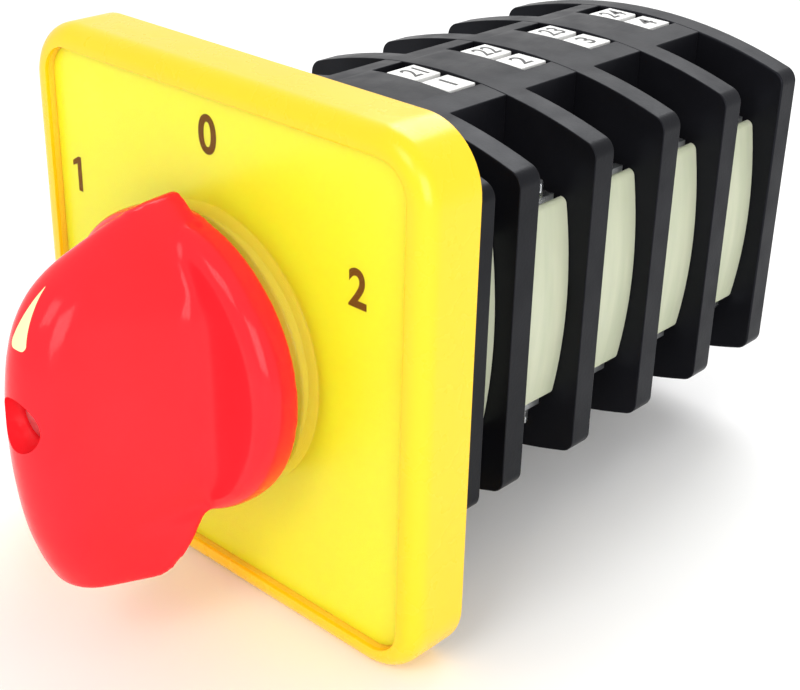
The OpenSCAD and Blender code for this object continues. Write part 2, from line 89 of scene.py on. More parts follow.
def noise_on_object(tree, scale, detail=3.0, stretch=(1.0, 1.0, 1.0)):
    """Noise on Object coordinates; scale counts blobs per metre."""
    place = tree.nodes.new("ShaderNodeTexCoord")
    mapping = tree.nodes.new("ShaderNodeMapping")
    mapping.inputs["Scale"].default_value = stretch
    noise = tree.nodes.new("ShaderNodeTexNoise")
    noise.inputs["Scale"].default_value = scale
    noise.inputs["Detail"].default_value = detail
    tree.links.new(place.outputs["Object"], mapping.inputs["Vector"])
    tree.links.new(mapping.outputs[0], noise.inputs["Vector"])
    return noise


def spread(tree, source, low, high, start=0.3, end=0.7):
    """Maps a value from start..end to low..high, and keeps it within them."""
    ranger = tree.nodes.new("ShaderNodeMapRange")
    for socket, value in zip(("From Min", "From Max", "To Min", "To Max"), (start, end, low, high)):
        ranger.inputs[socket].default_value = value
    tree.links.new(source, ranger.inputs["Value"])
    return ranger.outputs["Result"]


def tint(tree, source, first, second):
    """A colour between first and second, picked by a value from 0 to 1."""
    ramp = tree.nodes.new("ShaderNodeValToRGB")
    ramp.color_ramp.elements[0].position = 0.3
    ramp.color_ramp.elements[1].position = 0.7
    ramp.color_ramp.elements[0].color = (*first, 1.0)
    ramp.color_ramp.elements[1].color = (*second, 1.0)
    tree.links.new(source, ramp.inputs["Fac"])
    return ramp.outputs["Color"]


def roughen(tree, shader, height, strength, distance):
    """Puts a height on the shader's normal; distance in millimetres."""
    bump = tree.nodes.new("ShaderNodeBump")
    bump.inputs["Strength"].default_value = strength
    bump.inputs["Distance"].default_value = distance * MM
    tree.links.new(height, bump.inputs["Height"])
    tree.links.new(bump.outputs[0], shader.inputs["Normal"])


def moulded_plastic(name, colour, shade, rough, skin, skin_scale=2600.0, coat=0.0, specular=0.5,
                    gloss_tint=(1.0, 1.0, 1.0)):
    """Injection-moulded plastic: faint colour drift, uneven gloss and a fine moulded skin."""
    finish, tree, shader = new_finish(name)
    drift = noise_on_object(tree, scale=60.0, detail=4.0)
    tree.links.new(tint(tree, drift.outputs["Fac"], colour, shade), shader.inputs["Base Color"])
    gloss = noise_on_object(tree, scale=220.0, detail=5.0)
    tree.links.new(spread(tree, gloss.outputs["Fac"], *rough), shader.inputs["Roughness"])
    grain = noise_on_object(tree, scale=skin_scale, detail=6.0)
    roughen(tree, shader, grain.outputs["Fac"], strength=skin, distance=0.05)
    shader.inputs["Specular IOR Level"].default_value = specular
    shader.inputs["Specular Tint"].default_value = (*gloss_tint, 1.0)
    shader.inputs["Coat Weight"].default_value = coat
    shader.inputs["Coat Roughness"].default_value = 0.08
    return finish


yellow_plastic = moulded_plastic("yellow_plastic", YELLOW, DEEP_YELLOW, rough=(0.22, 0.34),
                                 skin=0.05, coat=0.1, specular=0.35)


def welded_copy(node_name, piece_name, flat_within=0.6):
    """A copy of a CAD node's mesh with its loose triangles joined into flat faces."""
    mesh = nodes[node_name].data.copy()
    mesh.name = piece_name
    shape = bmesh.new()
    shape.from_mesh(mesh)
    bmesh.ops.remove_doubles(shape, verts=shape.verts, dist=2 * SAME_PLACE * MM)
    bmesh.ops.dissolve_limit(shape, angle_limit=math.radians(flat_within), verts=shape.verts,
                             edges=shape.edges)
    return mesh, shape


def in_scene(name, data):
    """A new object in the scene, at the origin."""
    holder = bpy.data.objects.new(name, data)
    bpy.context.scene.collection.objects.link(holder)
    return holder


def finished_piece(mesh, shape, finish, smooth_angle=35.0):
    """Writes the bmesh into the mesh, shades it and puts it in the scene."""
    shape.to_mesh(mesh)
    shape.free()
    mesh.materials.clear()
    mesh.materials.append(finish)
    mesh.shade_smooth()
    mesh.set_sharp_from_angle(angle=math.radians(smooth_angle))
    return in_scene(mesh.name, mesh)


def soften_edges(piece, width, segments=3, sharp_angle=32.0):
    """Rounds every sharp edge of a moulded or stamped piece by a small radius."""
    bevel = piece.modifiers.new("moulded edges", "BEVEL")
    bevel.width = width * MM
    bevel.segments = segments
    bevel.limit_method = "ANGLE"
    bevel.angle_limit = math.radians(sharp_angle)
    bevel.miter_outer = "MITER_ARC"
    bevel.harden_normals = True
    bevel.use_clamp_overlap = True


def put_on(piece, body, slot, *replaced):
    """The piece rides on a body and stands for CAD nodes, which it hides. The slot is not used."""
    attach(piece, body)
    if replaced:
        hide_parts(*replaced)


rim_mesh, rim = welded_copy("front_frame", "yellow_frame")
rim_front_y, window_half = lowest("front_frame", "Y"), highest("legend_plate", "X")
outer_edges = [e for e in rim.edges
               if all(abs(v.co.y - rim_front_y * MM) < 10 * SAME_PLACE * MM
                      and max(abs(v.co.x), abs(v.co.z)) > (window_half + RIM_EDGE_R) * MM
                      for v in e.verts)
               and len(e.link_faces) == 2 and e.calc_face_angle(0.0) > 1.0]
bmesh.ops.bevel(rim, geom=outer_edges, offset=RIM_ROLL * MM, offset_type="OFFSET",
                segments=RIM_ROLL_STEPS, profile=0.5, affect="EDGES", clamp_overlap=True,
                material=-1)
yellow_frame = finished_piece(rim_mesh, rim, yellow_plastic)
soften_edges(yellow_frame, RIM_EDGE_R)
put_on(yellow_frame, "housing", "yellow_plastic", "front_frame")

# Legend plate: a smooth yellow sheet in the window, printed in dark brown with the three
# positions' numbers. The print is a thin raised film of ink.
LEGEND_Y = lowest("legend_plate", "Y")
INK_T = 0.03
LEGEND_YELLOW, DEEP_LEGEND_YELLOW = (1.0, 0.86, 0.02), (1.0, 0.83, 0.016)
BROWN, LIGHT_BROWN = (0.12, 0.036, 0.003), (0.15, 0.045, 0.004)
# Each number: its text, place in X and Z, height, and width as a share of the digit's own
NUMBERS = (("0", -1.3, 24.5, 4.5, 0.98), ("2", 21.7, 13.8, 4.4, 0.9))
NUMBER_BOLDNESS = 0.14
CAPITAL_SHARE = 0.73
# The 1 has a sloping flag, so it is drawn from its own outline
ONE_X, ONE_Z, ONE_CORNER = -25.4, 13.4, 0.05
ONE = ((0.4, 2.2), (0.4, -2.2), (-0.35, -2.2), (-0.35, 1.25), (-1.2, 0.85), (-1.2, 1.5),
       (-0.1, 2.2))

legend_sheet = moulded_plastic("legend_sheet", LEGEND_YELLOW, DEEP_LEGEND_YELLOW,
                               rough=(0.3, 0.42), skin=0.04)
sheet_glow = legend_sheet.node_tree.nodes["Principled BSDF"].inputs
sheet_glow["Subsurface Weight"].default_value = 0.5
sheet_glow["Subsurface Radius"].default_value = (4.0, 1.8, 0.2)
sheet_glow["Subsurface Scale"].default_value = 1.0 * MM
nodes["legend_plate"].data.materials.clear()
nodes["legend_plate"].data.materials.append(legend_sheet)

brown_ink = moulded_plastic("brown_ink", BROWN, LIGHT_BROWN, rough=(0.45, 0.6), skin=0.2,
                            skin_scale=3000.0, specular=0.12)


def flat_number(text, height, thickness, boldness, name):
    """A number as a thin solid, upright in X and Y about its own centre."""
    curve = bpy.data.curves.new(name, "FONT")
    curve.body = text
    curve.size = height * MM / CAPITAL_SHARE
    curve.offset = boldness * MM
    curve.extrude = thickness / 2 * MM
    curve.resolution_u = 6
    curve.align_x = "CENTER"
    holder = in_scene(name, curve)
    bpy.context.view_layer.update()
    drawn = bpy.data.meshes.new_from_object(
        holder.evaluated_get(bpy.context.evaluated_depsgraph_get()))
    bpy.data.objects.remove(holder)
    bpy.data.curves.remove(curve)
    low = [min(v.co[i] for v in drawn.vertices) for i in range(3)]
    high = [max(v.co[i] for v in drawn.vertices) for i in range(3)]
    drawn.transform(Matrix.Translation([-(a + b) / 2 for a, b in zip(low, high)]))
    drawn.name = name
    return drawn


def printed(number, width, turn_axis, place, ink, slot):
    """A flat number narrowed, turned upright or to the side, and laid in its place as ink."""
    number.transform(Matrix.Scale(width, 4, (1, 0, 0)))
    number.transform(Matrix.Rotation(math.radians(90), 4, turn_axis))
    number.transform(Matrix.Translation(Vector(place) * MM))
    shape = bmesh.new()
    shape.from_mesh(number)
    bmesh.ops.remove_doubles(shape, verts=shape.verts, dist=SAME_PLACE * MM)
    bmesh.ops.recalc_face_normals(shape, faces=shape.faces)
    put_on(finished_piece(number, shape, ink), "housing", slot)


def plain_solid(name, shape):
    """The bmesh as an object with no finish yet."""
    mesh = bpy.data.meshes.new(name)
    shape.to_mesh(mesh)
    shape.free()
    return in_scene(name, mesh)


def rounded_outline(shape, corners, plane, offset, corner_steps=10):
    """A flat face through corners, each rounded by its own radius, laid in the given plane."""
    axes = {"XZ": lambda p: (p[0], offset, p[1]), "XY": lambda p: (p[0], p[1], offset)}
    verts = [shape.verts.new(Vector(axes[plane](p)) * MM) for p, _ in corners]
    shape.faces.new(verts)
    for vert, (_, radius) in zip(verts, corners):
        if radius:
            bmesh.ops.bevel(shape, geom=[vert], offset=radius * MM, offset_type="OFFSET",
                            segments=corner_steps, profile=0.5, affect="VERTICES",
                            clamp_overlap=True, material=-1)
    shape.verts.ensure_lookup_table()
    return list(shape.faces)


def slab(name, corners, plane, start, end):
    """The rounded outline drawn out from start to end across its plane."""
    along = {"XZ": (0, 1, 0), "XY": (0, 0, 1)}[plane]
    shape = bmesh.new()
    faces = rounded_outline(shape, corners, plane, start)
    drawn = bmesh.ops.extrude_face_region(shape, geom=faces, use_keep_orig=True)["geom"]
    bmesh.ops.translate(shape, verts=[g for g in drawn if isinstance(g, bmesh.types.BMVert)],
                        vec=Vector(along) * (end - start) * MM)
    bmesh.ops.recalc_face_normals(shape, faces=shape.faces)
    return plain_solid(name, shape)


for text, x, z, height, width in NUMBERS:
    number = flat_number(text, height, INK_T, NUMBER_BOLDNESS, "printed_" + text)
    printed(number, width, "X", (x, LEGEND_Y - INK_T / 2, z), brown_ink, "yellow_legend")
one = slab("printed_1", tuple(((x + ONE_X, z + ONE_Z), ONE_CORNER) for x, z in ONE), "XZ",
           LEGEND_Y - INK_T, LEGEND_Y)
one.data.materials.append(brown_ink)
put_on(one, "housing", "yellow_legend")

# Clear cover: a polished sheet over the legend plate with a low clear collar round the
# handle. It shows by its edges and reflections, and tints what lies under it very little.
COVER_T, COVER_GAP = 0.76, 0.04
COVER_BACK_Y = LEGEND_Y - COVER_GAP
COVER_FRONT_Y = COVER_BACK_Y - COVER_T
COLLAR_FRONT_Y = lowest("clear_cover", "Y")
COLLAR_R, COLLAR_BORE_R, COVER_BORE_R, PAST_WINDOW_R = 17.0, 15.5, 12.5, 44.0
# Half the cover's section, in radius and Y, each corner with the radius that rounds it
COVER_HALF = (((COVER_BORE_R, COVER_BACK_Y), 0), ((PAST_WINDOW_R, COVER_BACK_Y), 0),
              ((PAST_WINDOW_R, COVER_FRONT_Y), 0), ((COLLAR_R, COVER_FRONT_Y), 0.5),
              ((COLLAR_R, COLLAR_FRONT_Y), 0.6), ((COLLAR_BORE_R, COLLAR_FRONT_Y), 0.6),
              ((COLLAR_BORE_R, COVER_FRONT_Y), 0.4), ((COVER_BORE_R, COVER_FRONT_Y), 0.2))
COVER_SIDE, COVER_CORNER_R = highest("clear_cover", "X"), 3.9
COVER_OUTLINE = tuple(((x * COVER_SIDE, z * COVER_SIDE), COVER_CORNER_R)
                      for x, z in ((1, 1), (1, -1), (-1, -1), (-1, 1)))
CUT_FRONT_Y, CUT_BACK_Y = -12.0, -5.0
CLEAR_YELLOW = (1.0, 0.84, 0.12)


def turned(name, half, segments=96):
    """A solid turned about the shaft's axis from a half section in radius and Y."""
    shape = bmesh.new()
    section = rounded_outline(shape, half, "XY", 0.0)
    bmesh.ops.delete(shape, geom=section, context="FACES_ONLY")
    on_axis = [e for e in shape.edges if all(abs(v.co.x) < SAME_PLACE * MM for v in e.verts)]
    bmesh.ops.delete(shape, geom=on_axis, context="EDGES")
    bmesh.ops.spin(shape, geom=list(shape.edges), cent=(0, 0, 0), axis=(0, 1, 0),
                   dvec=(0, 0, 0), angle=math.tau, steps=segments, use_merge=True,
                   use_duplicate=False)
    bmesh.ops.remove_doubles(shape, verts=shape.verts, dist=SAME_PLACE * MM)
    bmesh.ops.recalc_face_normals(shape, faces=shape.faces)
    return plain_solid(name, shape)


def settle(piece):
    """Applies the modifiers of a piece to its own mesh."""
    bpy.context.view_layer.update()
    old = piece.data
    done = bpy.data.meshes.new_from_object(
        piece.evaluated_get(bpy.context.evaluated_depsgraph_get()))
    piece.modifiers.clear()
    piece.data = done
    name = old.name
    bpy.data.meshes.remove(old)
    done.name = name


def drop(piece):
    """Takes an object that was only a tool out of the scene, with its mesh."""
    spent = piece.data
    bpy.data.objects.remove(piece)
    bpy.data.meshes.remove(spent)


def combine(target, tool, operation):
    """Cuts the target with another solid, or keeps what they share, and drops the tool."""
    action = target.modifiers.new("combine", "BOOLEAN")
    action.operation = operation
    action.solver = "EXACT"
    action.object = tool
    settle(target)
    drop(tool)


def worked_out(tree, operation, first, second=None):
    """The result of a sum on one or two values, at least 0 and at most 1."""
    step = tree.nodes.new("ShaderNodeMath")
    step.operation = operation
    step.use_clamp = True
    tree.links.new(first, step.inputs[0])
    if second is not None:
        tree.links.new(second, step.inputs[1])
    return step.outputs[0]


def clear_moulding(name, colour, facing, grazing, wall):
    """Clear plastic, nearly unseen face on; its walls that run to the rear gather light."""
    finish, tree, shader = new_finish(name)
    shader.inputs["Base Color"].default_value = (*colour, 1.0)
    shader.inputs["Specular IOR Level"].default_value = 0.75
    haze = noise_on_object(tree, scale=120.0, detail=4.0)
    tree.links.new(spread(tree, haze.outputs["Fac"], 0.04, 0.1), shader.inputs["Roughness"])
    edge = tree.nodes.new("ShaderNodeLayerWeight")
    edge.inputs["Blend"].default_value = 0.25
    turned_away = spread(tree, edge.outputs["Facing"], facing, grazing, start=0.35, end=1.0)
    place = tree.nodes.new("ShaderNodeTexCoord")
    parts = tree.nodes.new("ShaderNodeSeparateXYZ")
    tree.links.new(place.outputs["Normal"], parts.inputs[0])
    level = worked_out(tree, "ABSOLUTE", parts.outputs["Y"])
    on_walls = spread(tree, level, wall, 0.0, start=0.1, end=0.8)
    density = worked_out(tree, "MAXIMUM", turned_away, on_walls)
    tree.links.new(density, shader.inputs["Alpha"])
    ripple = noise_on_object(tree, scale=90.0, detail=2.0)
    roughen(tree, shader, ripple.outputs["Fac"], strength=0.1, distance=0.1)
    return finish


clear_plastic = clear_moulding("clear_plastic", CLEAR_YELLOW, facing=0.015, grazing=0.2, wall=0.3)
clear_window = turned("clear_window", COVER_HALF)
combine(clear_window, slab("cover_outline", COVER_OUTLINE, "XZ", CUT_FRONT_Y, CUT_BACK_Y),
        "INTERSECT")
clear_window.data.materials.clear()
clear_window.data.materials.append(clear_plastic)
for face in clear_window.data.polygons:
    face.use_smooth = abs(face.normal.y) < 0.9995
clear_window.data.set_sharp_from_angle(angle=math.radians(30))
put_on(clear_window, "housing", "clear_plastic", "clear_cover")

# Handle: one red moulding, a round disc with a tall grip that comes to a point at the top.
# The grip is drawn through level sections with a round nose, then every edge is melted.
# Each section: height, half width and Y at its root, Y and radius of its nose
GRIP = ((-21.95, 6.4, -22.5, -30.3, 4.9), (-21.5, 7.4, -21.6, -30.8, 4.7),
        (-20.4, 8.1, -20.5, -31.4, 4.6), (-18.2, 8.2, -18.3, -32.4, 4.9),
        (-15.2, 8.25, -16.0, -33.4, 5.1), (-14.9, 8.25, -12.6, -33.5, 5.1),
        (-10.0, 8.3, -12.2, -34.4, 5.2), (-5.0, 8.3, -12.2, -34.85, 5.2),
        (0.0, 8.3, -12.2, -34.95, 5.2), (5.0, 8.3, -12.2, -34.5, 4.9),
        (9.0, 8.1, -12.2, -33.6, 4.3), (12.0, 7.2, -12.2, -31.9, 4.1),
        (14.6, 5.5, -12.2, -29.2, 3.2), (17.0, 3.7, -12.2, -24.8, 1.8),
        (18.8, 1.9, -12.2, -20.6, 0.9), (19.5, 0.95, -12.2, -17.8, 0.5),
        (19.8, 0.5, -12.2, -14.6, 0.3), (19.95, 0.25, -12.2, -13.0, 0.1))
NOSE_STEPS = 16
DISC_R, DISC_FRONT_R, DISC_FRONT_Y, DISC_REAR_Y = 17.8, 17.75, -16.1, -11.05
DISC_HALF = (((0.0, DISC_REAR_Y), 0), ((DISC_R, DISC_REAR_Y), 0.3),
             ((DISC_FRONT_R, DISC_FRONT_Y), 2.3), ((0.0, DISC_FRONT_Y), 0))
HUB_R, HUB_FRONT_Y, HUB_REAR_Y = 9.5, -12.0, -5.0
HUB_HALF = (((0.0, HUB_FRONT_Y), 0), ((0.0, HUB_REAR_Y), 0), ((HUB_R, HUB_REAR_Y), 0.3),
            ((HUB_R, HUB_FRONT_Y), 0))
# The grip's root is smoothed far more than the rest, and its tip is spared
MELT_VOXEL = 0.4
MELT_ROUNDS, REST_ROUNDS, ROOT_ROUNDS = 2, 12, 160
TIP, TIP_SPARED_R = (0.0, -14.0, 20.0), 5.0
ROOT_FRONT_Y, ROOT_REAR_Y, ROOT_OUTER_R, ROOT_TOP_Z = -20.6, -14.8, 15.2, 11.0
RECESS_R, RECESS_FLOOR_Y, RECESS_CUT = 3.1, -29.5, 12.0
RED, DEEP_RED = (0.95, 0.02, 0.03), (0.92, 0.016, 0.024)


def drawn_through(rows, per_gap):
    """Rows between the given ones, on curves that never overshoot them."""
    spans = [b[0] - a[0] for a, b in zip(rows, rows[1:])]
    rises = [[(q - p) / s for p, q in zip(a, b)] for a, b, s in zip(rows, rows[1:], spans)]
    slopes = [rises[0]]
    for before, after in zip(rises, rises[1:]):
        slopes.append([2 * p * q / (p + q) if p * q > 0 else 0.0 for p, q in zip(before, after)])
    slopes.append(rises[-1])
    result = []
    for i, span in enumerate(spans):
        for k in range(per_gap):
            u = k / per_gap
            ease = u * u * (3 - 2 * u)
            leave, arrive = u * (1 - u) ** 2 * span, u * u * (u - 1) * span
            result.append([p * (1 - ease) + q * ease + leave * m + arrive * n for p, q, m, n
                           in zip(rows[i], rows[i + 1], slopes[i], slopes[i + 1])])
    return result + [list(rows[-1])]


def grip_section(z, half, root_y, nose_y, nose_r):
    """Points of a level section: straight sides from the root that run onto the round nose."""
    depth = root_y - nose_y
    nose_r = min(nose_r, half * 0.97, depth * 0.9)
    reach = depth - nose_r
    start = math.acos(min(1.0, nose_r / math.hypot(half, reach))) - math.atan2(reach, half)
    points = [(half, root_y)]
    for k in range(NOSE_STEPS + 1):
        turn = start + (math.pi - 2 * start) * k / NOSE_STEPS
        points.append((nose_r * math.cos(turn), root_y - reach - nose_r * math.sin(turn)))
    points.append((-half, root_y))
    return [Vector((x, y, z)) * MM for x, y in points]


def lofted(name, sections):
    """A closed solid with flat ends, skinned over sections of equal count."""
    shape = bmesh.new()
    rows = [[shape.verts.new(p) for p in section] for section in sections]
    for low_row, high_row in zip(rows, rows[1:]):
        for k in range(len(low_row)):
            after = (k + 1) % len(low_row)
            shape.faces.new((low_row[k], low_row[after], high_row[after], high_row[k]))
    shape.faces.new(rows[0])
    shape.faces.new(rows[-1])
    bmesh.ops.recalc_face_normals(shape, faces=shape.faces)
    return plain_solid(name, shape)


def join_to(target, other):
    """Adds another closed solid to the target's mesh as it is."""
    shape = bmesh.new()
    shape.from_mesh(target.data)
    shape.from_mesh(other.data)
    shape.to_mesh(target.data)
    shape.free()
    drop(other)


handle = lofted("red_handle", [grip_section(*row) for row in drawn_through(GRIP, 4)])
join_to(handle, turned("disc", DISC_HALF))
join_to(handle, turned("hub", HUB_HALF))
melt = handle.modifiers.new("melt", "REMESH")
melt.mode = "VOXEL"
melt.voxel_size = MELT_VOXEL * MM
settle(handle)
shape = bmesh.new()
shape.from_mesh(handle.data)
away_from_tip = [v for v in shape.verts if (v.co - Vector(TIP) * MM).length > TIP_SPARED_R * MM]
at_root = [v for v in away_from_tip
           if ROOT_FRONT_Y * MM < v.co.y < ROOT_REAR_Y * MM and v.co.z < ROOT_TOP_Z * MM
           and math.hypot(v.co.x, v.co.z) < ROOT_OUTER_R * MM]
for verts, rounds in ((shape.verts, MELT_ROUNDS), (at_root, ROOT_ROUNDS),
                      (away_from_tip, REST_ROUNDS)):
    for _ in range(rounds):
        bmesh.ops.smooth_vert(shape, verts=verts, factor=0.5, use_axis_x=True, use_axis_y=True,
                              use_axis_z=True)
shape.to_mesh(handle.data)
shape.free()

recess = bmesh.new()
bmesh.ops.create_cone(recess, cap_ends=True, segments=48, radius1=RECESS_R * MM,
                      radius2=RECESS_R * MM, depth=RECESS_CUT * MM)
bmesh.ops.rotate(recess, verts=recess.verts, matrix=Matrix.Rotation(math.radians(90), 3, "X"))
bmesh.ops.translate(recess, verts=recess.verts,
                    vec=(0, (RECESS_FLOOR_Y - RECESS_CUT / 2) * MM, 0))
combine(handle, plain_solid("recess_cut", recess), "DIFFERENCE")
red_plastic = moulded_plastic("red_plastic", RED, DEEP_RED, rough=(0.12, 0.18), skin=0.02,
                              coat=0.05, specular=0.15)

# Pointer mark: a cream wedge let into the handle's nose, narrow end up and flush with the
# red. The handle has the same wedge cut out of it, and both get their finish here.
MARK = (((0.0, 14.3), 0.25), ((1.35, 8.4), 0.8), ((-1.35, 8.4), 0.8))
MARK_FRONT_Y, MARK_REAR_Y = -40.0, -24.0
CREAM, DEEP_CREAM = (0.93, 0.88, 0.46), (0.88, 0.84, 0.42)

mark = slab("pointer_mark", MARK, "XZ", MARK_FRONT_Y, MARK_REAR_Y)
nose_copy = in_scene("nose_copy", handle.data.copy())
mark_cut = in_scene("mark_cut", mark.data.copy())
combine(mark, nose_copy, "INTERSECT")
combine(handle, mark_cut, "DIFFERENCE")
cream_inlay = moulded_plastic("cream_inlay", CREAM, DEEP_CREAM, rough=(0.35, 0.5), skin=0.1)
for piece, finish in ((handle, red_plastic), (mark, cream_inlay)):
    piece.data.materials.clear()
    piece.data.materials.append(finish)
    piece.data.shade_smooth()
    piece.data.set_sharp_from_angle(angle=math.radians(40))
put_on(handle, "rotor", "red_plastic", "knob")
put_on(mark, "rotor", "white_inlay", "knob_marker")

# Metal parts: zinc-plated screws, bolts and clamps, bright shaft and pins, brass inserts and
# contacts, a bronze bush and leaves of spring steel. Turned or stamped, each with slightly
# broken edges.
STAGES = (1, 2, 3, 4)
SIDES = ("left", "right")
CONTACT_EDGE_R = 0.12


def metal(name, colour, shade, rough, stretch, scale=700.0, bump=0.15):
    """Bare or plated metal with brushed or turned streaks along one direction."""
    finish, tree, shader = new_finish(name)
    shader.inputs["Metallic"].default_value = 1.0
    streak = noise_on_object(tree, scale, detail=5.0, stretch=stretch)
    tree.links.new(tint(tree, streak.outputs["Fac"], colour, shade), shader.inputs["Base Color"])
    patch = noise_on_object(tree, scale=260.0, detail=4.0)
    tree.links.new(spread(tree, patch.outputs["Fac"], *rough), shader.inputs["Roughness"])
    roughen(tree, shader, streak.outputs["Fac"], strength=bump, distance=0.03)
    return finish


zinc_steel = metal("zinc_steel", (0.72, 0.73, 0.72), (0.6, 0.62, 0.64), rough=(0.22, 0.38),
                   stretch=(1, 1, 4))
bright_steel = metal("bright_steel", (0.74, 0.74, 0.75), (0.64, 0.64, 0.65), rough=(0.15, 0.28),
                     stretch=(6, 1, 6))
brass = metal("brass", (0.84, 0.62, 0.26), (0.74, 0.5, 0.18), rough=(0.24, 0.4),
              stretch=(3, 1, 3))
contact_brass = metal("contact_brass", (0.86, 0.6, 0.3), (0.74, 0.5, 0.24), rough=(0.25, 0.42),
                      stretch=(1, 1, 5))
spring_steel = metal("spring_steel", (0.55, 0.56, 0.58), (0.45, 0.46, 0.5), rough=(0.2, 0.35),
                     stretch=(1, 5, 1))
bronze = metal("bronze", (0.66, 0.44, 0.26), (0.5, 0.33, 0.19), rough=(0.4, 0.6),
               stretch=(1, 1, 1), scale=2500.0, bump=0.5)


def dressed_copy(node_name, body, slot, finish, edge, segments=2):
    """A CAD node's shape with its edges softened and its real finish."""
    mesh, shape = welded_copy(node_name, node_name + "_piece")
    piece = finished_piece(mesh, shape, finish)
    soften_edges(piece, edge, segments)
    put_on(piece, body, slot, node_name)


for node_name, body, slot, finish, edge in (
        ("knob_screw", "rotor", "zinc_steel", zinc_steel, 0.3),
        ("shaft", "rotor", "bright_steel", bright_steel, 0.3),
        ("fixing_screws", "housing", "zinc_steel", zinc_steel, 0.2),
        ("fixing_inserts", "housing", "brass", brass, 0.15),
        ("stop_pins", "housing", "bright_steel", bright_steel, 0.2),
        ("rear_bush", "housing", "sintered_bronze", bronze, 0.3),
        ("tie_bolts", "housing", "zinc_steel", zinc_steel, 0.35),
        ("tie_nuts", "housing", "zinc_steel", zinc_steel, 0.2),
        ("terminal_clamps", "housing", "zinc_steel", zinc_steel, 0.15),
        ("terminal_screws", "housing", "zinc_steel", zinc_steel, 0.3),
        ("detent_spring_left", "housing", "spring_steel", spring_steel, 0.08),
        ("detent_spring_right", "housing", "spring_steel", spring_steel, 0.08)):
    dressed_copy(node_name, body, slot, finish, edge)
for stage in STAGES:
    dressed_copy(f"fixed_contacts_{stage}", "housing", "contact_brass", contact_brass,
                 CONTACT_EDGE_R)
    for side in SIDES:
        dressed_copy(f"bridge_{side}_{stage}", f"plunger_{side}_{stage}", "contact_brass",
                     contact_brass, CONTACT_EDGE_R)

# Cams, plungers and star wheel: the gliding parts inside, moulded in white nylon. The cams
# and the star wheel turn with the shaft, and each plunger slides in its stage.
NYLON_EDGE_R = 0.15
white_nylon = moulded_plastic("white_nylon", (0.84, 0.83, 0.76), (0.78, 0.77, 0.7),
                              rough=(0.4, 0.55), skin=0.15)
dressed_copy("star_wheel", "rotor", "white_nylon", white_nylon, NYLON_EDGE_R)
for stage in STAGES:
    dressed_copy(f"cam_{stage}", "rotor", "white_nylon", white_nylon, NYLON_EDGE_R)
    for side in SIDES:
        slider = f"plunger_{side}_{stage}"
        dressed_copy(slider, slider, "white_nylon", white_nylon, NYLON_EDGE_R)

# Contact springs: cylindrical coils of spring-steel wire between each bridge and its side
# cover.
WIRE_R = 0.36
COILS = 5.5
COIL_STEPS = 24
WIRE_SIDES = 10

for side in SIDES:
    for stage in STAGES:
        name = f"spring_{side}_{stage}"
        low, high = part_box(name)
        mean_r = (high.z - low.z) / 2 - WIRE_R * MM
        ring = bmesh.new()
        bmesh.ops.create_circle(ring, cap_ends=False, segments=WIRE_SIDES, radius=WIRE_R * MM)
        bmesh.ops.rotate(ring, verts=ring.verts, matrix=Matrix.Rotation(math.radians(90), 3, "X"))
        centre = Vector((low.x + WIRE_R * MM, (low.y + high.y) / 2, (low.z + high.z) / 2))
        bmesh.ops.translate(ring, verts=ring.verts, vec=centre + Vector((0, 0, mean_r)))
        run = high.x - low.x - 2 * WIRE_R * MM
        steps = int(COILS * COIL_STEPS)
        bmesh.ops.spin(ring, geom=list(ring.edges), cent=centre, axis=(1, 0, 0),
                       dvec=(run / steps, 0, 0), angle=math.tau * COILS, steps=steps,
                       use_merge=False, use_duplicate=False)
        bmesh.ops.holes_fill(ring, edges=[e for e in ring.edges if e.is_boundary], sides=0)
        bmesh.ops.recalc_face_normals(ring, faces=ring.faces)
        coil = finished_piece(bpy.data.meshes.new(name + "_coil"), ring, spring_steel)
        inner_x, outer_x = (low.x, high.x) if side == "right" else (high.x, low.x)
        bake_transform(coil)
        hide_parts(name)

# Body: latch housing, spacer, four stage housings and the end plate, moulded in black
# glass-filled plastic with a semi-matt skin and softly rounded edges. The slot of each
# stage's label tiles runs on past them to the left, where a tile is pushed out.
TILE_L, SLOT_ROOM, SLOT_OVERRUN = 5.0, 0.5, 1.0
SLOT_LEFT, SLOT_RIGHT, SLOT_FLOOR_Z, SLOT_OPEN_Z = -7.1, 5.9, 22.9, 30.0
BODY_EDGE_R, BODY_EDGE_STEPS = 0.55, 3
BLACK, BLUE_BLACK = (0.004, 0.004, 0.005), (0.007, 0.007, 0.009)
black_plastic = moulded_plastic("black_plastic", BLACK, BLUE_BLACK, rough=(0.3, 0.46), skin=0.3,
                                specular=0.13, gloss_tint=(0.8, 0.86, 1.0))
for node_name in ("latch_housing", "latch_spacer", "end_plate"):
    dressed_copy(node_name, "housing", "black_plastic", black_plastic, BODY_EDGE_R,
                 BODY_EDGE_STEPS)
for stage in STAGES:
    node_name = f"stage_housing_{stage}"
    mesh, shape = welded_copy(node_name, node_name + "_piece")
    stage_body = finished_piece(mesh, shape, black_plastic)
    rear_y = highest(node_name, "Y")
    front_y = rear_y - TILE_L - SLOT_ROOM
    slot = tuple(((x, y), 0) for x, y in (
        (SLOT_LEFT, front_y), (SLOT_RIGHT, front_y), (SLOT_RIGHT, rear_y + SLOT_OVERRUN),
        (SLOT_LEFT, rear_y + SLOT_OVERRUN)))
    combine(stage_body, slab("tile_slot", slot, "XY", SLOT_FLOOR_Z, SLOT_OPEN_Z), "DIFFERENCE")
    stage_body.data.set_sharp_from_angle(angle=math.radians(35))
    soften_edges(stage_body, BODY_EDGE_R, BODY_EDGE_STEPS)
    put_on(stage_body, "housing", "black_plastic", node_name)

